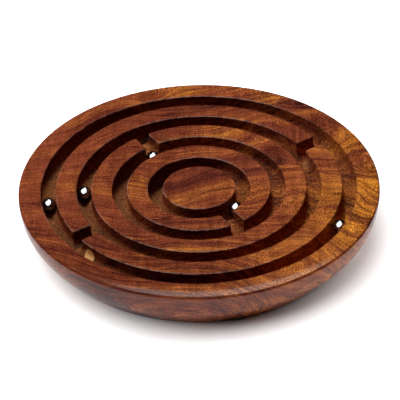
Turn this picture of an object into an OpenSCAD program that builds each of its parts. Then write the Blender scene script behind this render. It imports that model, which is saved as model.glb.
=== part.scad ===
// Hand-held tilt maze: a round board of solid hardwood with concentric
// tracks, and loose steel balls that roll along them.
// The tracks are cut with a round-nosed cutter, so they have half-round
// floors. The ring walls between them are cut through by gates. Tilting the
// board sends the balls from track to track towards the centre.
// The board is one piece of wood. Its base, rim, ring walls and centre disc
// are nodes of their own, which meet face to face under the track floors.
// Units are millimetres. The board rests on its flat underside at z = 0 and
// its centre is on the Z axis. The grain runs along X.

/* [Board] */
// Diameter across the rim
board_d = 152; // [120:1:260]
// Height from the resting face to the top face
board_h = 22; // [16:0.5:40]
// Upright band at the top of the side
side_band = 1.5; // [0.5:0.1:6]
// Radius of the curve that tucks the side in under the rim
belly_r = 19; // [8:0.5:60]
// Lean of the straight lower flank from upright
flank_lean = 42; // [20:0.5:60]
// Rounding of the rim's top outer edge
rim_round = 0.8; // [0.2:0.1:3]

/* [Tracks] */
// Number of ring-shaped tracks
track_count = 4; // [2:1:6]
// Centre radius of the innermost track
first_track_r = 18.4; // [12:0.1:40]
// Distance from one track's centre line to the next
track_pitch = 15; // [10:0.1:25]
// Width of a track, and of its half-round floor
track_w = 6.3; // [4.5:0.1:14]
// Depth of a track below the top face
track_depth = 7; // [4:0.1:16]
// Chamfer that breaks the top edges along the tracks
edge_break = 0.4; // [0.1:0.1:1]

/* [Gates] */
// Width of the gates cut through the ring walls
gate_w = 6.3; // [4.5:0.1:14]
// Height of a gate's floor above the track floor
gate_rise = 0.3; // [0.1:0.1:2]
// Width of the cut that eases the wall corners at each gate
gate_corner = 0.8; // [0.2:0.1:2]
// Angles of the gates in the innermost ring wall
inner_gates = [302]; // [0:1:359]
// Angles of the gates in the middle ring wall
middle_gates = [122]; // [0:1:359]
// Angles of the gates in the outermost ring wall
outer_gates = [32, 212]; // [0:1:359]

/* [Balls] */
// Diameter of the steel balls
ball_d = 6; // [3:0.1:12]
// Gap left under a ball
ball_gap = 0.05; // [0.02:0.01:0.2]
// Resting angle of the left ball in the outermost track
outer_left_at = 184; // [95:1:265]
// Resting angle of the right ball in the outermost track
outer_right_at = 337; // [275:1:360]
// Resting angle of the ball in the third track
third_ball_at = 176; // [0:1:359]
// Resting angle of the ball in the second track
second_ball_at = 125; // [0:1:359]
// Resting angle of the ball in the innermost track
inner_ball_at = 326; // [0:1:359]

/* [Hidden] */
$fn = 180;
board_r = board_d / 2;
// centre of the belly curve
belly_x = board_r - belly_r;
belly_z = board_h - side_band;
// how far the belly curve has turned from upright where the flank leaves it
belly_turn = flank_lean + 4;
turn_x = belly_x + belly_r * cos(belly_turn);
turn_z = belly_z - belly_r * sin(belly_turn);
// upper end of the straight flank, run on inside the belly
flank_z = turn_z + 3;
flank_x = turn_x + 3 * tan(flank_lean);
// radius of the flat resting face
base_r = turn_x - turn_z * tan(flank_lean);
floor_z = board_h - track_depth;
// centre height of the half-round track floor
groove_z = floor_z + track_w / 2;
// top of the base, under the lowest line of the track floors
web = 1;
base_z = floor_z - web;
last_track = track_count - 1;
ball_r = ball_d / 2;
ball_z = floor_z + ball_r + ball_gap;
// margin by which cutters run past the faces they cut
over = 1;
wood = [0.50, 0.27, 0.15];
steel = [0.78, 0.79, 0.80];
// gate angles of each ring wall, from the innermost outwards
wall_gates = [inner_gates, middle_gates, outer_gates];

// centre radius of track i, counted from the innermost
function track_r(i) = first_track_r + i * track_pitch;

// radius of the inside face of the ring wall outside track i
function wall_in(i) = track_r(i) + track_w / 2;

// radius of the outside face of the ring wall outside track i
function wall_out(i) = track_r(i + 1) - track_w / 2;

// half section of the blank: flat foot, straight flank, curved belly, upright band
module blank_section() {
    polygon([[0, 0], [base_r, 0], [flank_x, flank_z], [0, flank_z]]);
    intersection() {
        square([board_r, belly_z]);
        translate([belly_x, belly_z]) circle(belly_r);
    }
    translate([0, belly_z]) square([board_r, side_band]);
    square([belly_x, board_h]);
}

// corner piece that rounds the rim's top outer edge
module rim_edge_section() {
    translate([board_r - rim_round, board_h - rim_round])
        difference() {
            square([rim_round + over, rim_round + over]);
            circle(rim_round, $fn = 48);
        }
}

// half section of the cutter for track i: round nose, straight sides, flared
// at the top to break the edges
module track_section(i) {
    translate([track_r(i), groove_z]) circle(track_w / 2);
    polygon([
        [wall_in(i), groove_z],
        [wall_in(i), board_h - edge_break],
        [wall_in(i) + edge_break + over, board_h + over],
        [track_r(i) - track_w / 2 - edge_break - over, board_h + over],
        [track_r(i) - track_w / 2, board_h - edge_break],
        [track_r(i) - track_w / 2, groove_z]
    ]);
}

// half section of the wood between two radii, above the base
module land_section(from_r, to_r) {
    translate([from_r, base_z]) square([to_r - from_r, board_h - base_z]);
}

// plan of the cut that eases a ring wall's corners at a gate: r is the radius
// of the wall face that the corners are on
module corner_plan(r) {
    for (m = [0, 1]) mirror([0, m])
        translate([sqrt(r * r - gate_w * gate_w / 4), gate_w / 2])
            rotate(45) square(gate_corner * sqrt(2), center = true);
}

// gate cut through the ring wall outside track i, along X
module gate(i) {
    nose_z = floor_z + gate_rise + gate_w / 2;
    translate([track_r(i), 0, nose_z]) {
        rotate([0, 90, 0]) cylinder(h = track_pitch, d = gate_w);
        translate([0, -gate_w / 2, 0]) cube([track_pitch, gate_w, track_depth]);
    }
    translate([0, 0, nose_z + gate_rise])
        linear_extrude(track_depth) {
            corner_plan(wall_in(i));
            corner_plan(wall_out(i));
        }
}

// ring wall outside track i, cut through at each of its gates
module ring_wall(i) {
    color(wood)
        difference() {
            rotate_extrude()
                difference() {
                    land_section(track_r(i), track_r(i + 1));
                    track_section(i);
                    track_section(i + 1);
                }
            for (a = wall_gates[i]) rotate(a) gate(i);
        }
}

// solid wood below the track floors
module base() {
    color(wood)
        rotate_extrude()
            intersection() {
                blank_section();
                square([board_r + over, base_z]);
            }
}

// wood outside the outermost track
module rim() {
    color(wood)
        rotate_extrude()
            difference() {
                intersection() {
                    blank_section();
                    land_section(track_r(last_track), board_r + over);
                }
                rim_edge_section();
                track_section(last_track);
            }
}

module outer_ring_wall() { ring_wall(2); }
module middle_ring_wall() { ring_wall(1); }
module inner_ring_wall() { ring_wall(0); }

// wood inside the innermost track
module centre_disc() {
    color(wood)
        rotate_extrude()
            difference() {
                land_section(0, track_r(0));
                track_section(0);
            }
}

// steel ball resting in track i at angle a
module ball(i, a) {
    color(steel)
        rotate(a) translate([track_r(i), 0, ball_z]) sphere(ball_r, $fn = 64);
}

module ball_outer_left() { ball(last_track, outer_left_at); }
module ball_outer_right() { ball(last_track, outer_right_at); }
module ball_third() { ball(2, third_ball_at); }
module ball_second() { ball(1, second_ball_at); }
module ball_inner() { ball(0, inner_ball_at); }

base();
rim();
outer_ring_wall();
middle_ring_wall();
inner_ring_wall();
centre_disc();
ball_outer_left();
ball_outer_right();
ball_third();
ball_second();
ball_inner();
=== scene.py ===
"""Round hardwood tilt maze with loose steel balls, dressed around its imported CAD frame.

Metres, +Z up. The board stands on the floor at z = 0 with its centre on the Z axis.
Its shape, and every place named in its materials, is worked out in millimetres.
"""

import math

import bmesh
import bpy
import mathutils
import numpy as np
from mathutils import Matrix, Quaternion, Vector, noise


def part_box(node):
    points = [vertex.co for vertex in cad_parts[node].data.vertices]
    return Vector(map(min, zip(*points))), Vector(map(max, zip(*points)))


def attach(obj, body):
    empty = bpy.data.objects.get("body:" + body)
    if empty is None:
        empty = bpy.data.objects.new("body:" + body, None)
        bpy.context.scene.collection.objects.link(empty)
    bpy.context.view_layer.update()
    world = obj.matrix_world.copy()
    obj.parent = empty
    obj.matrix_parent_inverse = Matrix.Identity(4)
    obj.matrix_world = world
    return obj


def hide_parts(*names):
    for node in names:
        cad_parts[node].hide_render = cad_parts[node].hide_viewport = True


MM = 0.001
QUARTER = math.pi / 2

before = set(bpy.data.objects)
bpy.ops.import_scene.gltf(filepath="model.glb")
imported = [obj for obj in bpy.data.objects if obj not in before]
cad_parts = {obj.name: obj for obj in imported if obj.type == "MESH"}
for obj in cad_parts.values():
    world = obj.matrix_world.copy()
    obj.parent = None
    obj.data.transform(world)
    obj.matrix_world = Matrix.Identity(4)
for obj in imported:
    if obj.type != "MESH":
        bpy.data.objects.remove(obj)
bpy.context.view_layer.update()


# ---------------------------------------------------------------- dimensions
WOOD_NODES = ["base", "rim", "outer_ring_wall", "middle_ring_wall", "inner_ring_wall", "centre_disc"]
BALL_NODES = ["ball_outer_left", "ball_outer_right", "ball_third", "ball_second", "ball_inner"]

rim_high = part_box("rim")[1]
BOARD_R = rim_high.x / MM
TOP_Z = rim_high.z / MM
# the centre line of a track is where the wood inside it, as a CAD node, ends
TRACK_R = [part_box(n)[1].x / MM for n in reversed(WOOD_NODES[2:])]
TRACK_W = 6.3
TRACK_DEPTH = 7.0
# the track's floor is half round: its nose starts where the upright walls end
NOSE_R = TRACK_W / 2
FLOOR_Z = TOP_Z - TRACK_DEPTH
NOSE_Z = FLOOR_Z + NOSE_R
RIM_IN_R = TRACK_R[3] + NOSE_R

# gates by the ring wall that they cut: inner, middle, outer
GATES = [[math.radians(a) for a in angles] for angles in ([302], [122], [32, 212])]
# roundings of the wall ends between gates, in the order that wall_outline() takes them
CORNERS = [[(0.6, 0.7, 0.8, 1.3)], [(0.7, 0.6, 1.4, 0.6)], [(0.5, 0.45, 1.1, 0.6), (0.9, 1.3, 0.8, 1.5)]]
# the gates are cut this much less deep than the tracks
GATE_RISE = 0.3

# side of the board: upright band, belly curve, straight flank that turns under to the foot
SIDE_BAND = 1.5
BELLY_R = 19.0
FLANK_LEAN = 42.0
# the belly turns a little past the flank's lean before it ends
BELLY_TURN = FLANK_LEAN + 4
RIM_ROUND = 0.8
FOOT_ROUND = 0.5
# width of the row of faces that leads round onto the flat foot
FOOT_EDGE = 1.0
# rounding of the edges along the tracks, the share by which sanding left it uneven, and the
# waves of that per millimetre
EDGE_ROUND = 0.42
EDGE_UNEVEN = 0.35
EDGE_WAVES = 0.09
# the outer part of the rim's top face is sanded to a slight crown
CROWN_WIDTH = 6.0
CROWN_DROP = 0.24

# fineness of the board's mesh: spacing of points, and steps along each rounded section
DISC_COUNT = 200
RIM_COUNT = 480
WALL_PITCH = 0.9
CORNER_PITCH = 0.12
EDGE_STEPS = 6
CROWN_STEPS = 9
RIM_STEPS = 8
BELLY_STEPS = 24
FOOT_STEPS = 4
# rows down the flank, as shares of its length
FLANK_SHARES = (0.06, 0.35, 0.7)
# rows of points along a track's floor, as turns of the cutter's nose
BED_TURNS = [math.radians(a) for a in (*range(-80, -9, 10), -5, 0, 5, *range(10, 81, 10))]
STEEP_TURN = math.radians(45)
FLAT_PITCH = 0.9
STEEP_PITCH = 0.55
GATE_PITCH = 0.45
# the floor's facets are laid a little low, so that none of them stands up into the path of a ball
BED_SLACK = 1.008
# how far past a gate's half width the floor beside its rounded corners is worked out
SHOULDER = 2.0
# the crease where a gate meets a track: its steps each way, and its share of the gate's half width
CREASE_STEPS = 20
CREASE_REACH = 0.985
# how far the other floor points keep from the creases and from the foot of the walls
CREASE_CLEAR = 0.12
BORDER_CLEAR = 0.03
# how many of them are compared at a time, and how near two points may be in the triangulation
BATCH = 2000
MERGE_WITHIN = 1e-5


# ------------------------------------------------------------------- outlines
# An outline is a closed list of (point, normal) in plan, in millimetres. The
# normal points away from the wood, into the track.
def polar(r, a):
    return Vector((r * math.cos(a), r * math.sin(a)))


def arc(centre, r, a0, a1, facing, pitch):
    """Points along an arc; facing is +1 where the wood is inside it, -1 where it is outside."""
    count = max(3, math.ceil(abs(a1 - a0) * abs(r) / pitch))
    out = []
    for i in range(count + 1):
        n = polar(1, a0 + (a1 - a0) * i / count)
        out.append((centre + n * r, n * facing))
    return out


def circle_outline(r, facing, count):
    return [(polar(r, math.tau * i / count), polar(facing, math.tau * i / count)) for i in range(count)]


def gate_corner(gate, side, face_r, outer, rounding):
    """Rounded corner of a ring wall at a gate: its centre, and the angle where it leaves the wall's face.

    side is +1 on the anticlockwise side of the gate, and -1 on the other.
    """
    v = NOSE_R + rounding
    rc = face_r - rounding if outer else face_r + rounding
    u = math.sqrt(rc * rc - v * v)
    centre = polar(u, gate) + polar(side * v, gate + QUARTER)
    return centre, gate + side * math.atan2(v, u)


def wall_outline(r_in, r_out, gate_a, gate_b, rounds):
    """Outline of a ring wall that runs anticlockwise from gate_a to gate_b, angles in radians.

    rounds is the corner rounding: outer and inner at gate_a, outer and inner at gate_b.
    """
    centre = Vector((0, 0))
    ca_out, a_out = gate_corner(gate_a, 1, r_out, True, rounds[0])
    ca_in, a_in = gate_corner(gate_a, 1, r_in, False, rounds[1])
    cb_out, b_out = gate_corner(gate_b, -1, r_out, True, rounds[2])
    cb_in, b_in = gate_corner(gate_b, -1, r_in, False, rounds[3])
    out = arc(centre, r_out, a_out, b_out, 1, WALL_PITCH)
    out += arc(cb_out, rounds[2], b_out, gate_b + QUARTER, 1, CORNER_PITCH)[1:]
    out += arc(cb_in, rounds[3], gate_b + QUARTER, b_in + math.pi, 1, CORNER_PITCH)
    out += arc(centre, r_in, b_in, a_in, -1, WALL_PITCH)[1:]
    out += arc(ca_in, rounds[1], a_in + math.pi, gate_a + 3 * QUARTER, 1, CORNER_PITCH)[1:]
    out += arc(ca_out, rounds[0], gate_a - QUARTER, a_out, 1, CORNER_PITCH)[:-1]
    return out


def wall_outlines():
    """Outlines of the centre disc and of each ring wall between its gates, from the inside out."""
    out = [circle_outline(TRACK_R[0] - NOSE_R, 1, DISC_COUNT)]
    for k, gates in enumerate(GATES):
        r_in, r_out = TRACK_R[k] + NOSE_R, TRACK_R[k + 1] - NOSE_R
        for j, gate in enumerate(gates):
            following = gates[(j + 1) % len(gates)]
            if following <= gate:
                following += math.tau
            out.append(wall_outline(r_in, r_out, gate, following, CORNERS[k][j]))
    return out


# ----------------------------------------------------------------- board mesh
class Skin:
    """Collects the board's vertices with their exact normals."""

    def __init__(self):
        self.bm = bmesh.new()
        self.normals = []

    def ring(self, places):
        """Makes a row of vertices from (place in millimetres, normal) pairs."""
        made = []
        for co, n in places:
            made.append(self.bm.verts.new(Vector(co) * MM))
            self.normals.append(n)
        return made

    def strip(self, a, b):
        """Faces between two closed rows of the same length."""
        count = len(a)
        for i in range(count):
            j = (i + 1) % count
            self.bm.faces.new((a[i], a[j], b[j], b[i]))

    def cap(self, ring):
        """Closes a ring whose points all lie at one height."""
        edges = [self.bm.edges.get((v, ring[(i + 1) % len(ring)])) for i, v in enumerate(ring)]
        bmesh.ops.triangle_fill(
            self.bm, use_beauty=True, use_dissolve=False, edges=edges, normal=(0, 0, 1)
        )


def edge_rounding(p):
    """Rounding of the top edge at a place: hand sanding leaves it a little uneven."""
    wobble = noise.noise(Vector((p.x * EDGE_WAVES, p.y * EDGE_WAVES, 0.3)))
    return EDGE_ROUND * (1 + EDGE_UNEVEN * wobble)


def raise_wall(skin, outline):
    """Builds an outline's wall, from the track's floor to the rounded top edge; returns its end rings."""
    rows = [[((*p, bed(p)[0]), (*n, 0.0)) for p, n in outline]]
    for i in range(EDGE_STEPS + 1):
        t = QUARTER * i / EDGE_STEPS
        row = []
        for p, n in outline:
            r = edge_rounding(p)
            place = p - n * r * (1 - math.cos(t))
            row.append(((*place, TOP_Z - r * (1 - math.sin(t))), (*(n * math.cos(t)), math.sin(t))))
        rows.append(row)
    rings = [skin.ring(row) for row in rows]
    for a, b in zip(rings, rings[1:]):
        skin.strip(a, b)
    return rings[0], rings[-1]


def bed(p):
    """Height and normal of the routed floor at a place in plan: the lower of track and gate there."""
    r = p.length
    d = r - min(TRACK_R, key=lambda c: abs(r - c))
    past_track = abs(d) - NOSE_R
    best = None
    if past_track < 0:
        lift = math.sqrt(NOSE_R**2 - d * d)
        best = (NOSE_Z - BED_SLACK * lift, (*(p * (-d / (NOSE_R * r))), lift / NOSE_R))
    for k, gates in enumerate(GATES):
        for gate in gates:
            across = polar(1, gate + QUARTER)
            u, v = p.dot(polar(1, gate)), p.dot(across)
            if not TRACK_R[k] < u < TRACK_R[k + 1]:
                continue
            past_gate = abs(v) - NOSE_R
            if past_gate < 0:
                lift = math.sqrt(NOSE_R**2 - v * v)
                z = NOSE_Z + GATE_RISE - lift
                if best is None or z < best[0]:
                    best = (z, (*(across * (-v / NOSE_R)), lift / NOSE_R))
            elif best is None and past_gate < SHOULDER:
                # beside a rounded corner the floor climbs from the track's nose to the gate's
                share = past_track / (past_track + past_gate + 1e-9)
                best = (NOSE_Z + GATE_RISE * share, (0.0, 0.0, 1.0))
    return best or (NOSE_Z, (0.0, 0.0, 1.0))


def crease(gate, track, outward):
    """Chain of plan points where a gate's half-round floor runs into a track's."""
    chain = []
    for i in range(-CREASE_STEPS, CREASE_STEPS + 1):
        v = CREASE_REACH * NOSE_R * math.sin(QUARTER * i / CREASE_STEPS)
        lift = math.sqrt(NOSE_R**2 - v * v) - GATE_RISE
        r = track + outward * math.sqrt(NOSE_R**2 - lift * lift)
        chain.append(polar(math.sqrt(r * r - v * v), gate) + polar(v, gate + QUARTER))
    return chain


def bed_samples():
    """Plan points that fill the routed floor, and the chains of points where a gate meets a track."""
    points, chains = [], []
    for track in TRACK_R:
        for k, turn in enumerate(BED_TURNS):
            r = track + NOSE_R * math.sin(turn)
            pitch = FLAT_PITCH if abs(turn) < STEEP_TURN else STEEP_PITCH
            count = round(math.tau * r / pitch)
            points += [polar(r, math.tau * (i + 0.5 * (k % 2)) / count) for i in range(count)]
    for k, gates in enumerate(GATES):
        count = round((TRACK_R[k + 1] - TRACK_R[k]) / GATE_PITCH)
        for gate in gates:
            for turn in BED_TURNS:
                v = polar(NOSE_R * math.sin(turn), gate + QUARTER)
                points += [polar(TRACK_R[k] + GATE_PITCH * i, gate) + v for i in range(1, count)]
            chains += [crease(gate, TRACK_R[k], 1), crease(gate, TRACK_R[k + 1], -1)]
    return points, chains


def in_wood(points, rings):
    """Even-odd test of plan points against the walls' outlines; rings is a list of closed point lists."""
    inside = np.zeros(len(points), bool)
    x, y = points[:, 0], points[:, 1]
    for ring in rings:
        hit = np.zeros(len(points), bool)
        for (ax, ay), (bx, by) in zip(ring, np.roll(ring, -1, axis=0)):
            if ay != by:
                crosses = (ay > y) != (by > y)
                hit ^= crosses & (x < (bx - ax) * (y - ay) / (by - ay) + ax)
        inside |= hit
    return inside


def stand_clear(loose, others, gap):
    """Which of the loose plan points are further than gap from all the others."""
    clear = np.ones(len(loose), bool)
    for start in range(0, len(loose), BATCH):
        part = loose[start : start + BATCH, None]
        clear[start : start + BATCH] = np.linalg.norm(part - others[None], axis=2).min(1) > gap
    return clear


def lay_bed(skin, low_rings):
    """Fills the half-round floor between the lowest rings of the walls; the first ring is the rim's."""
    plan, border_verts, edges = [], [], []
    for ring in low_rings:
        first = len(plan)
        plan += [Vector((v.co.x, v.co.y)) / MM for v in ring]
        border_verts += ring
        edges += [(first + i, first + (i + 1) % len(ring)) for i in range(len(ring))]
    walls = [np.array([(v.co.x / MM, v.co.y / MM) for v in ring]) for ring in low_rings[1:]]
    border = np.array([tuple(p) for p in plan])

    points, chains = bed_samples()
    for chain in chains:
        first = len(plan)
        plan += chain
        edges += [(first + i, first + i + 1) for i in range(len(chain) - 1)]
    creases = np.array([tuple(p) for chain in chains for p in chain])
    loose = np.array([tuple(p) for p in points])
    clear = stand_clear(loose, creases, CREASE_CLEAR) & stand_clear(loose, border, BORDER_CLEAR)
    clear &= ~in_wood(loose, walls)
    plan += [Vector(p) for p in loose[clear]]

    places, _, faces, origins, *_ = mathutils.geometry.delaunay_2d_cdt(plan, edges, [], 0, MERGE_WITHIN)
    made = []
    for place, origin in zip(places, origins):
        if origin and origin[0] < len(border_verts):
            made.append(border_verts[origin[0]])
        else:
            z, n = bed(place)
            made.append(skin.ring([((*place, z), n)])[0])
    centres = np.array([[tuple(places[i]) for i in f] for f in faces]).mean(1)
    keep = np.hypot(centres[:, 0], centres[:, 1]) < RIM_IN_R
    keep &= ~in_wood(centres, walls)
    for f, kept in zip(faces, keep):
        if kept:
            skin.bm.faces.new([made[i] for i in f])


def crown_profile():
    """Half section of the crowned part of the rim's top face: (r, z, normal's r, normal's z)."""
    out = []
    width = CROWN_WIDTH - RIM_ROUND
    for i in range(CROWN_STEPS):
        share = i / CROWN_STEPS
        slope = 2 * CROWN_DROP * share / width
        size = math.hypot(slope, 1)
        r, z = BOARD_R - CROWN_WIDTH + width * share, TOP_Z - CROWN_DROP * share**2
        out.append((r, z, slope / size, 1 / size))
    return out


def side_profile():
    """Half section of the outside, from the crown down and under to the foot, in the same form."""
    out = []
    slope = math.atan(2 * CROWN_DROP / (CROWN_WIDTH - RIM_ROUND))
    for i in range(RIM_STEPS + 1):
        t = (QUARTER - slope) * (1 - i / RIM_STEPS)
        c, s = math.cos(t), math.sin(t)
        out.append((BOARD_R - RIM_ROUND * (1 - c), TOP_Z - CROWN_DROP - RIM_ROUND * (1 - s), c, s))
    belly_x, belly_z = BOARD_R - BELLY_R, TOP_Z - SIDE_BAND
    turn = math.radians(BELLY_TURN)
    for i in range(BELLY_STEPS + 1):
        t = turn * i / BELLY_STEPS
        c, s = math.cos(t), math.sin(t)
        out.append((belly_x + BELLY_R * c, belly_z - BELLY_R * s, c, -s))
    lean = math.radians(FLANK_LEAN)
    turn_x, turn_z, *_ = out[-1]
    foot_r = turn_x - turn_z * math.tan(lean)
    # the rounding between flank and foot touches each of them this far from where they would meet
    tangent = FOOT_ROUND * math.tan((QUARTER - lean) / 2)
    low_r = foot_r + tangent * math.sin(lean)
    low_z = tangent * math.cos(lean)
    for share in FLANK_SHARES:
        r, z = turn_x + (low_r - turn_x) * share, turn_z + (low_z - turn_z) * share
        out.append((r, z, math.cos(lean), -math.sin(lean)))
    foot_x = foot_r - tangent
    for i in range(FOOT_STEPS + 1):
        t = lean + (QUARTER - lean) * i / FOOT_STEPS
        c, s = math.cos(t), math.sin(t)
        out.append((foot_x + FOOT_ROUND * c, FOOT_ROUND * (1 - s), c, -s))
    out.append((foot_x - FOOT_EDGE, 0.0, 0.0, -1.0))
    return out


def build_board():
    skin = Skin()
    rim_floor, rim_top = raise_wall(skin, circle_outline(RIM_IN_R, -1, RIM_COUNT))
    floors, tops = [rim_floor], []
    for outline in wall_outlines():
        low, high = raise_wall(skin, outline)
        floors.append(low)
        tops.append(high)
    last = rim_top
    for r, z, n_r, n_z in crown_profile() + side_profile():
        turns = [math.tau * i / RIM_COUNT for i in range(RIM_COUNT)]
        ring = skin.ring([((*polar(r, a), z), (*polar(n_r, a), n_z)) for a in turns])
        skin.strip(last, ring)
        last = ring
    lay_bed(skin, floors)
    for ring in (*tops, last):
        skin.cap(ring)
    bmesh.ops.recalc_face_normals(skin.bm, faces=skin.bm.faces)
    mesh = bpy.data.meshes.new("board")
    skin.bm.to_mesh(mesh)
    skin.bm.free()
    mesh.shade_smooth()
    mesh.normals_split_custom_set_from_vertices([Vector(n).normalized() for n in skin.normals])
    board = bpy.data.objects.new("board", mesh)
    bpy.context.scene.collection.objects.link(board)
    return board


# ---------------------------------------------------------------- shader nodes
class Shader:
    """Adds nodes to a material and wires them; every helper returns an output socket."""

    def __init__(self, name):
        self.material = bpy.data.materials.new(name)
        self.material.use_nodes = True
        self.tree = self.material.node_tree
        self.surface = next(n for n in self.tree.nodes if n.type == "BSDF_PRINCIPLED")
        coords = self.tree.nodes.new("ShaderNodeTexCoord")
        self.place = self.vector("MULTIPLY", coords.outputs["Object"], (1 / MM,) * 3)

    def put(self, socket, value):
        if isinstance(value, bpy.types.NodeSocket):
            self.tree.links.new(value, socket)
        else:
            socket.default_value = value

    def math(self, operation, a, b=0.0):
        n = self.tree.nodes.new("ShaderNodeMath")
        n.operation = operation
        self.put(n.inputs[0], a)
        self.put(n.inputs[1], b)
        return n.outputs[0]

    def plus(self, first, *others):
        for value in others:
            first = self.math("ADD", first, value)
        return first

    def times(self, first, *others):
        for value in others:
            first = self.math("MULTIPLY", first, value)
        return first

    def less(self, a, b):
        return self.math("SUBTRACT", a, b)

    def vector(self, operation, a, b=None):
        n = self.tree.nodes.new("ShaderNodeVectorMath")
        n.operation = operation
        self.put(n.inputs[0], a)
        if b is not None:
            self.put(n.inputs[1], b)
        return n.outputs["Value" if operation == "LENGTH" else "Vector"]

    def split(self, v):
        n = self.tree.nodes.new("ShaderNodeSeparateXYZ")
        self.put(n.inputs[0], v)
        return n.outputs

    def join(self, x, y, z):
        n = self.tree.nodes.new("ShaderNodeCombineXYZ")
        for socket, value in zip(n.inputs, (x, y, z)):
            self.put(socket, value)
        return n.outputs[0]

    def noise(self, v, stretch, detail=2.0, roughness=0.5, shift=(0, 0, 0)):
        """Noise with stretch waves per millimetre along each axis of v."""
        n = self.tree.nodes.new("ShaderNodeTexNoise")
        scaled = self.vector("MULTIPLY", v, stretch)
        if any(shift):
            scaled = self.vector("ADD", scaled, shift)
        self.put(n.inputs["Vector"], scaled)
        n.inputs["Scale"].default_value = 1.0
        n.inputs["Detail"].default_value = detail
        n.inputs["Roughness"].default_value = roughness
        return n.outputs["Fac"]

    def sway(self, v, reach, *noise_settings):
        """Noise that swings about zero, over the given reach from trough to crest."""
        return self.times(self.less(self.noise(v, *noise_settings), 0.5), reach)

    def span(self, value, low, high, to_low=0.0, to_high=1.0, smooth=True):
        """to_low below low, to_high above high, and smoothly from one to the other between."""
        n = self.tree.nodes.new("ShaderNodeMapRange")
        n.interpolation_type = "SMOOTHSTEP" if smooth else "LINEAR"
        for socket, v in zip(n.inputs, (value, low, high, to_low, to_high)):
            self.put(socket, v)
        return n.outputs[0]

    def ramp(self, value, stops):
        n = self.tree.nodes.new("ShaderNodeValToRGB")
        elements = n.color_ramp.elements
        while len(elements) < len(stops):
            elements.new(0.5)
        for e, (at, colour) in zip(elements, stops):
            e.position = at
            e.color = (*colour, 1)
        self.put(n.inputs[0], value)
        return n.outputs[0]

    def blend(self, kind, share, a, b):
        n = self.tree.nodes.new("ShaderNodeMix")
        n.data_type, n.blend_type = "RGBA", kind
        self.put(n.inputs["Factor"], share)
        for socket, value in ((n.inputs[6], a), (n.inputs[7], b)):
            self.put(socket, (*value, 1) if isinstance(value, tuple) else value)
        return n.outputs[2]

    def bump(self, height, distance, strength):
        n = self.tree.nodes.new("ShaderNodeBump")
        n.inputs["Distance"].default_value = distance
        n.inputs["Strength"].default_value = strength
        self.put(n.inputs["Height"], height)
        self.put(self.surface.inputs["Normal"], n.outputs[0])


# ------------------------------------------------------------------------ wood
# Figure of the wood in plan, in millimetres: centre x, centre y, radius, then an amount.
# Places where the growth lines climb or sink to the right, by a slope:
TILTS = [
    (0, 2, 16, 0.50), (-48, 50, 16, 0.60), (20, 30, 9, 0.40), (24, -8, 7, 0.5), (-48, -50, 18, -0.45),
    (67, -9, 9, -0.8), (62, 27, 8, 0.5), (49, -4, 8, -1.1), (54, -46, 13, -0.7), (20, -64, 14, -0.45),
]
# knots and flames that the growth lines run round, by a height:
KNOTS = [
    (-19, 68, 4.5, 7.0), (71, 10, 4.0, 3.0), (58, -4, 8.0, -5.0), (30, 45, 8.0, -6.0), (52, 30, 7.0, 6.0),
]
# golden and dark wood, by how much of it shows; the dark spot at (16.5, -26.5) fills the innermost gate
# and is painted shadow:
GOLD = [
    (74, -2, 9, 1.0), (69, -28, 15, 0.85), (46, -58, 12, 0.50), (66, 31, 7, 0.50), (56, -4, 7, 0.60),
    (-6, 70, 5, 0.5), (32, 64, 4, 0.6), (-25, 3, 3, 0.5), (10, 41, 7, 0.25), (24, -68, 8, 0.30),
]
DARK_SPOTS_AND_GATE_SHADOW = [
    (0, 3, 13, 0.50), (-19, 68, 4, 0.95), (71, 10, 3.2, 0.55), (-44, 60, 10, 0.50), (-46, -56, 20, 0.60),
    (-14, -68, 12, 0.35), (16.5, -26.5, 3, 0.9), (50, 52, 14, 0.42), (-26, 18, 18, 0.38),
    (-4, 68, 16, 0.28), (32, 26, 4, 0.7), (0, -50, 16, 0.25), (-70, 0, 7, 0.25), (8, -70, 7, 0.2),
]
# pools of light painted on the track floors just past the gates, by how bright they are:
LIGHT_POOLS = [(-45.9, -39.2, 3.1, 1.0), (45.6, 22.0, 2.6, 0.12), (10.8, -26.2, 1.9, 0.9)]

# Colours are linear. These ones are mixed in:
LEFT_WOOD = (0.215, 0.048, 0.021)
GOLDEN_WOOD = (0.600, 0.215, 0.024)
VEIN = (0.045, 0.011, 0.010)
PORE = (0.035, 0.010, 0.008)
TRACK_FLOOR = (0.190, 0.095, 0.036)
# a painted pool of light
PAINTED_LIGHT_POOL = (0.95, 0.52, 0.20)
# pale worn edge, also a painted highlight
WORN_EDGE_AND_HIGHLIGHT = (0.56, 0.30, 0.21)
# and these ones multiply what is there
# dark wood, also a painted shadow in the innermost gate
DARK_WOOD_AND_SHADOW = (0.45, 0.34, 0.48)
# painted shade on the upright walls of the tracks
WALL_PAINTED_SHADE = (0.66, 0.56, 0.54)
# painted shade on the turned side
SIDE_PAINTED_SHADE = (0.72, 0.62, 0.60)
AS_IT_IS = (1.0, 1.0, 1.0)
# colours along a noise's range, as they first stand and as they multiply what is there
TONES = [
    (0.37, (0.070, 0.015, 0.012)),
    (0.44, (0.150, 0.032, 0.017)),
    (0.51, (0.235, 0.056, 0.022)),
    (0.57, (0.330, 0.090, 0.026)),
    (0.64, (0.460, 0.155, 0.033)),
]
STRIPE_TINT = [(0.36, (0.42, 0.30, 0.34)), (0.52, AS_IT_IS), (0.64, (1.25, 1.28, 1.1))]
LINE_TINT = [(0.32, (0.48, 0.42, 0.43)), (0.50, AS_IT_IS), (0.66, (1.32, 1.40, 1.24))]
FLECK_TINT = [(0.37, (0.40, 0.34, 0.36)), (0.63, (1.60, 1.66, 1.60))]
FIGURE_TINT = [(0.28, (0.72, 0.68, 0.68)), (0.72, (1.24, 1.28, 1.22))]
TORN_TINT = [(0.36, (0.52, 0.48, 0.48)), (0.50, AS_IT_IS), (0.64, (1.40, 1.45, 1.45))]


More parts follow.
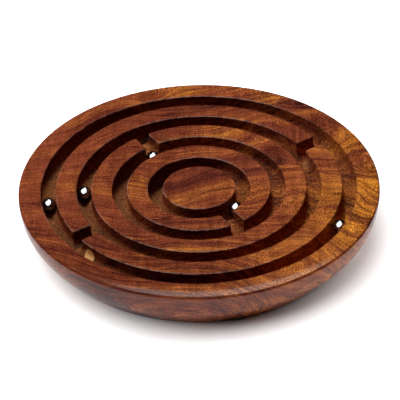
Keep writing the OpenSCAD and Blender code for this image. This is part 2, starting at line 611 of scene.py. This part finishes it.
class Wood(Shader):
    """Figured red-brown hardwood under a satin lacquer, cut through all three dimensions."""

    def __init__(self):
        super().__init__("figured_hardwood")
        self.x, self.y, self.z = self.split(self.place)
        self.radius = self.math("SQRT", self.plus(self.times(self.x, self.x), self.times(self.y, self.y)))
        self.find_surfaces()
        # noise read along these coordinates is drawn out along the growth lines
        self.grain = self.join(self.x, self.growth_lines(), self.z)
        self.streaks = self.noise(self.grain, (0.030, 0.62, 0.12), 4.0, 0.65, (3, 11, 5))
        self.lines = self.noise(self.grain, (0.09, 2.1, 0.5), 3.0, 0.65, (17, 2, 9))
        self.pores = self.span(self.noise(self.grain, (0.30, 3.4, 1.2), 1.0, 0.5, (5, 5, 5)), 0.60, 0.69)
        self.figure = self.noise(self.grain, (0.28, 0.084, 0.28), 3.0, 0.6, (9, 1, 3))

    def blob(self, cx, cy, radius):
        """1 at a place on the board's plan, 0.6 a radius away, and next to nothing three radii away."""
        dx, dy = self.less(self.x, cx), self.less(self.y, cy)
        square = self.plus(self.times(dx, dx), self.times(dy, dy))
        return self.math("EXPONENT", self.times(square, -0.5 / radius**2))

    def strongest(self, spots):
        """The strongest of some soft spots at each place."""
        out = None
        for cx, cy, radius, amount in spots:
            spot = self.times(self.blob(cx, cy, radius), amount)
            out = spot if out is None else self.math("MAXIMUM", out, spot)
        return out

    def tint(self, colour, share, field, stops):
        """Multiplies a colour by one that follows a noise field."""
        return self.blend("MULTIPLY", share, colour, self.ramp(field, stops))

    def find_surfaces(self):
        """Masks of the routed surfaces, their floor and walls, the track edges and the outside."""
        z, radius = self.z, self.radius
        # routed surfaces lie under the rounded edges, inside the rim and above the underside
        self.inside = self.times(
            self.span(z, TOP_Z - 0.75, TOP_Z - 0.45, 1.0, 0.0),
            self.span(radius, RIM_IN_R + 0.1, RIM_IN_R + 0.3, 1.0, 0.0),
            self.span(z, FLOOR_Z - 0.4, FLOOR_Z - 0.2),
        )
        self.floor = self.times(self.inside, self.span(z, FLOOR_Z + 0.5, NOSE_Z, 1.0, 0.0))
        self.walls = self.times(self.inside, self.span(z, NOSE_Z - 1.5, NOSE_Z))
        # the rounded edges along the tracks, just under the top face
        self.track_edge = self.times(
            self.span(z, TOP_Z - 0.10, TOP_Z - 0.02, 1.0, 0.0),
            self.span(z, TOP_Z - 0.6, TOP_Z - 0.4),
            self.span(radius, BOARD_R - 7.0, BOARD_R - 6.5, 0.55, 0.0),
        )
        # the outside is past the rim's outer rounding, or lower than it
        self.outer_edge = self.span(radius, BOARD_R - 0.7, BOARD_R - 0.3)
        side = self.math("MAXIMUM", self.outer_edge, self.span(z, TOP_Z - 1.2, TOP_Z - 0.8, 1.0, 0.0))
        self.side = self.times(side, self.less(1.0, self.inside))

    def growth_lines(self):
        """Coordinate whose level lines fan out to the right and swirl round a few knots."""
        fan = self.plus(1.0, self.times(self.plus(self.x, 60.0), 0.006))
        t = self.math("DIVIDE", self.y, fan)
        for cx, cy, radius, slope in TILTS:
            rise = self.times(self.less(self.x, cx), -slope)
            t = self.plus(t, self.times(rise, self.blob(cx, cy, radius)))
        for cx, cy, radius, height in KNOTS:
            t = self.plus(t, self.times(self.blob(cx, cy, radius), height))
        drift = self.sway(self.place, 9.0, (0.014, 0.02, 0.02), 2.0)
        wave = self.sway(self.place, 2.0, (0.05, 0.10, 0.08), 3.0, 0.55, (7, 3, 1))
        # the figure is wilder to the upper right
        curl = self.sway(self.place, 9.0, (0.13, 0.16, 0.16), 3.0, 0.6, (2, 9, 4))
        wild = self.blob(48.0, 44.0, 22.0)
        return self.plus(t, drift, wave, self.times(curl, wild), self.times(self.z, 0.55))

    def bare_wood(self):
        """Colour of the wood itself, from broad bands down to open pores."""
        x, y, grain = self.x, self.y, self.grain
        bands = self.noise(grain, (0.012, 0.16, 0.03), 3.0, 0.55)
        colour = self.ramp(self.plus(self.times(bands, 0.52), self.times(self.streaks, 0.48)), TONES)
        # redder and quieter wood on the left, where less light and dark alternate
        quiet = self.times(self.span(x, -70.0, 40.0, 0.60, 0.0), self.span(y, -45.0, -15.0, 0.25, 1.0))
        colour = self.blend("MIX", quiet, colour, LEFT_WOOD)
        # golden wood, in streaks, on the top only
        gold = self.times(self.strongest(GOLD), self.span(self.outer_edge, 0.0, 1.0, 1.0, 0.0))
        gold = self.times(gold, self.span(self.streaks, 0.42, 0.58, 0.22, 1.0))
        colour = self.blend("MIX", gold, colour, GOLDEN_WOOD)
        # dark wood, and a painted shadow in the innermost gate's channel
        colour = self.blend("MULTIPLY", self.strongest(DARK_SPOTS_AND_GATE_SHADOW), colour, DARK_WOOD_AND_SHADOW)
        # dark veins along the growth lines, where a slow noise passes through its middle
        middle = self.less(self.noise(grain, (0.008, 0.11, 0.015), 2.0, 0.5, (31, 5, 2)), 0.5)
        vein = self.span(self.math("ABSOLUTE", middle), 0.0, 0.020, 1.0, 0.0)
        broken = self.span(self.noise(grain, (0.03, 0.1, 0.03), 2.0, 0.5, (2, 8, 4)), 0.40, 0.58)
        colour = self.blend("MIX", self.times(vein, broken, 0.72), colour, VEIN)
        # close dark stripes on the right and on the lower left
        stripes = self.noise(grain, (0.06, 0.75, 0.1), 2.0, 0.6, (6, 6, 1))
        striped = self.math("MAXIMUM", self.span(x, 52.0, 72.0, 0.0, 0.75), self.blob(-34.0, -60.0, 20.0))
        colour = self.tint(colour, striped, stripes, STRIPE_TINT)
        # fine lines and open pores, softer on the right
        coarse = self.span(x, 5.0, 45.0, 1.0, 0.40)
        colour = self.tint(colour, coarse, self.lines, LINE_TINT)
        colour = self.blend("MIX", self.times(self.pores, 0.50, coarse), colour, PORE)
        # the sparkle of cut fibres, and the figure across the grain, both faint on the side
        calm = self.span(self.outer_edge, 0.0, 1.0, 1.0, 0.2)
        fleck = self.noise(grain, (1.5, 2.4, 1.5), 2.0, 0.7, (8, 1, 6))
        colour = self.tint(colour, calm, fleck, FLECK_TINT)
        return self.tint(colour, calm, self.figure, FIGURE_TINT)

    def cut_wood(self, colour):
        """What the cutter, wear and the lathe did to the colour, with painted pools of light, painted
        shade on the walls and side, and a painted highlight on the track edges.
        """
        x = self.x
        # routed surfaces are drier and less red than the sanded face
        tan = self.times(self.floor, self.span(x, -20.0, 30.0, 0.45, 0.15))
        colour = self.blend("MIX", tan, colour, TRACK_FLOOR)
        torn = self.noise(self.place, (1.0, 1.3, 1.0), 3.0, 0.7, (1, 4, 9))
        colour = self.tint(colour, self.floor, torn, TORN_TINT)
        # pools of light painted on the track floors just past the gates
        for cx, cy, radius, amount in LIGHT_POOLS:
            distance = self.vector("LENGTH", self.vector("SUBTRACT", self.place, (cx, cy, FLOOR_Z + 2)))
            light_pool = self.times(self.inside, self.span(distance, radius - 0.5, radius, 1.0, 0.0), amount)
            colour = self.blend("MIX", light_pool, colour, PAINTED_LIGHT_POOL)
        # painted shade darkens the upright walls of the tracks, least on the right
        shade = self.times(self.walls, self.span(x, 20.0, 55.0, 0.85, 0.15))
        colour = self.blend("MULTIPLY", shade, colour, WALL_PAINTED_SHADE)
        # the rounded edges of the tracks on the left are worn pale and carry a painted highlight
        worn_and_highlight = self.times(self.track_edge, self.span(x, 5.0, 40.0, 1.0, 0.1))
        worn_and_highlight = self.times(worn_and_highlight, self.span(self.figure, 0.38, 0.62))
        colour = self.blend("MIX", worn_and_highlight, colour, WORN_EDGE_AND_HIGHLIGHT)
        # painted shade darkens the turned side
        return self.blend("MULTIPLY", self.side, colour, SIDE_PAINTED_SHADE)

    def build(self):
        """Puts colour, lacquer and relief on the shader; returns the material."""
        out = self.surface.inputs
        self.put(out["Base Color"], self.cut_wood(self.bare_wood()))
        rough = self.span(self.streaks, 0.3, 0.7, 0.56, 0.46, smooth=False)
        rough = self.plus(rough, self.times(self.pores, 0.2), self.times(self.inside, 0.2))
        self.put(out["Roughness"], rough)
        out["Specular IOR Level"].default_value = 0.0
        # the lacquer is thicker towards the outside, and hardly reaches into the tracks
        lacquer = self.span(self.radius, BOARD_R - 9.0, BOARD_R - 3.0, 0.40, 0.52)
        lacquer = self.times(lacquer, self.span(self.inside, 0.0, 1.0, 1.0, 0.1))
        lacquer = self.plus(lacquer, self.times(self.side, 0.12))
        # it is rubbed off the top outer edge
        rubbed = self.span(self.radius, BOARD_R - 0.9, BOARD_R - 0.6)
        rubbed = self.times(rubbed, self.span(self.z, TOP_Z - 1.6, TOP_Z - 1.1))
        self.put(out["Coat Weight"], self.times(lacquer, self.span(rubbed, 0.0, 1.0, 1.0, 0.1)))
        out["Coat Roughness"].default_value = 0.10
        out["Coat IOR"].default_value = 1.45
        self.bump(self.less(self.times(self.lines, 0.5), self.pores), 0.06 * MM, 0.7)
        return self.material


# ------------------------------------------------------------------------ balls
STEEL_TONES = [(0.35, (0.30, 0.30, 0.31)), (0.65, (0.42, 0.42, 0.43))]
# cuts along each edge of the cube that a ball is made from
BALL_CUTS = 21


def steel_material():
    """Polished bearing steel with faint handling marks."""
    s = Shader("polished_steel")
    scratch = s.noise(s.place, (9.0, 0.9, 3.0), 3.0, 0.7)
    smudge = s.noise(s.place, (0.55, 0.55, 0.55), 3.0, 0.6, (4, 1, 8))
    out = s.surface.inputs
    s.put(out["Base Color"], s.ramp(smudge, STEEL_TONES))
    out["Metallic"].default_value = 1.0
    s.put(out["Roughness"], s.span(s.plus(s.times(scratch, 0.4), smudge), 0.5, 0.95, 0.11, 0.24))
    s.bump(scratch, 0.004 * MM, 0.5)
    return s.material


def build_ball(node, material):
    """A ball from a cube net pushed out to the sphere, so its faces are even all over."""
    low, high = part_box(node)
    centre, radius = (low + high) / 2, (high.z - low.z) / 2
    bm = bmesh.new()
    bmesh.ops.create_cube(bm, size=2.0)
    bmesh.ops.subdivide_edges(bm, edges=bm.edges[:], cuts=BALL_CUTS, use_grid_fill=True)
    for v in bm.verts:
        even = Vector([math.tan(c * math.pi / 4) for c in v.co])
        v.co = centre + even.normalized() * radius
    mesh = bpy.data.meshes.new("steel_" + node)
    bm.to_mesh(mesh)
    bm.free()
    mesh.shade_smooth()
    mesh.materials.append(material)
    ball = bpy.data.objects.new("steel_" + node, mesh)
    bpy.context.scene.collection.objects.link(ball)
    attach(ball, node)
    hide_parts(node)
    return ball


# -------------------------------------------------------------------- assembly
board = build_board()
board.data.materials.append(Wood().build())
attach(board, "board")
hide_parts(*WOOD_NODES)

steel = steel_material()
balls = [build_ball(name, steel) for name in BALL_NODES]


# ----------------------------------------------------------------------- stage
FLOOR_R = 12.0
FLOOR_TONES = [(0.3, (0.90, 0.90, 0.90)), (0.7, (0.93, 0.93, 0.93))]
# the lamps point at the middle of the board, just under its top face
LAMP_AIM = Vector((0, 0, 0.02))

scene = bpy.context.scene
scene.view_settings.view_transform = "Standard"


def floor_material():
    s = Shader("pale_floor")
    grain = s.noise(s.place, (0.02, 0.02, 0.02), 3.0, 0.6)
    s.put(s.surface.inputs["Base Color"], s.ramp(grain, FLOOR_TONES))
    s.surface.inputs["Roughness"].default_value = 0.9
    s.surface.inputs["Specular IOR Level"].default_value = 0.0
    return s.material


def build_floor():
    bm = bmesh.new()
    bmesh.ops.create_circle(bm, cap_ends=True, radius=FLOOR_R, segments=128)
    mesh = bpy.data.meshes.new("floor")
    bm.to_mesh(mesh)
    bm.free()
    floor = bpy.data.objects.new("floor", mesh)
    scene.collection.objects.link(floor)
    mesh.materials.append(floor_material())
    return floor


def receivers(name, objects):
    """A collection of objects that a lamp is to light alone."""
    lit = bpy.data.collections.new(name)
    for o in objects:
        lit.objects.link(o)
    return lit


def light(name, kind, lit, direction, distance, unseen=None, **settings):
    """A lamp at a distance in a direction from LAMP_AIM; unseen is the kind of ray that misses it."""
    data = bpy.data.lights.new(name, kind)
    for key, value in settings.items():
        setattr(data, key, value)
    lamp = bpy.data.objects.new(name, data)
    towards = Vector(direction).normalized()
    lamp.location = LAMP_AIM + towards * distance
    lamp.rotation_euler = towards.to_track_quat("Z", "Y").to_euler()
    lamp.light_linking.receiver_collection = lit
    if unseen:
        setattr(lamp, "visible_" + unseen, False)
    scene.collection.objects.link(lamp)


floor_only = receivers("floor_only", [build_floor()])
object_only = receivers("object_only", [board, *balls])

# the main light, from behind and above: it isn't seen as a reflection
light("key", "AREA", object_only, (-0.060, 0.600, 0.797), 1.1,
      unseen="glossy", energy=10.3, shape="DISK", size=0.28)
# a large softbox that is only seen as highlights on the steel and the lacquer
light("overhead", "AREA", object_only, (-0.22, -0.28, 1.0), 0.8,
      unseen="diffuse", energy=22.0, shape="ELLIPSE", size=1.20, size_y=1.60)
# a smaller one behind, for the sheen where the top is rounded towards the viewer
light("sheen", "AREA", object_only, (0.05, 0.58, 0.82), 1.1,
      unseen="diffuse", energy=1.7, shape="DISK", size=0.42)
# light on the dark left side, which isn't seen as a reflection either
light("left_fill", "AREA", object_only, (-0.66, 0.22, 0.72), 1.0,
      unseen="glossy", energy=6.8, shape="DISK", size=0.45)
# wide light that leaves only a soft shadow on the floor, to the front and the right
light("floor_wash", "SUN", floor_only, (-0.50, 0.20, 0.86), 1.0, energy=6.9, angle=math.radians(96))
light("floor_wash_back", "SUN", floor_only, (0.72, 0.30, 0.62), 1.0, energy=2.0, angle=math.radians(50))

# a white room that only the camera sees
world = bpy.data.worlds.new("white_room")
scene.world = world
world.use_nodes = True
world.node_tree.nodes["Background"].inputs["Color"].default_value = (1, 1, 1, 1)
world.node_tree.nodes["Background"].inputs["Strength"].default_value = 1.0
world.cycles_visibility.diffuse = False
world.cycles_visibility.glossy = False


# ---------------------------------------------------------------------- camera
# the photograph's viewing angle: a long lens, turned a little about its own axis
CAMERA_AIM = Vector((0.30 * MM, -8.99 * MM, TOP_Z * MM))
CAMERA_ELEVATION = math.radians(36.36)
CAMERA_ROLL = math.radians(-1.47)
CAMERA_DISTANCE = 2.010
CAMERA_LENS = 431.7


def add_camera():
    data = bpy.data.cameras.new("camera")
    data.sensor_width = 36.0
    data.lens = CAMERA_LENS
    data.clip_start, data.clip_end = 0.1, 50.0
    camera = bpy.data.objects.new("camera", data)
    back = Vector((0, -math.cos(CAMERA_ELEVATION), math.sin(CAMERA_ELEVATION)))
    camera.location = CAMERA_AIM + back * CAMERA_DISTANCE
    camera.rotation_mode = "QUATERNION"
    camera.rotation_quaternion = back.to_track_quat("Z", "Y") @ Quaternion((0, 0, 1), CAMERA_ROLL)
    scene.collection.objects.link(camera)
    scene.camera = camera


add_camera()
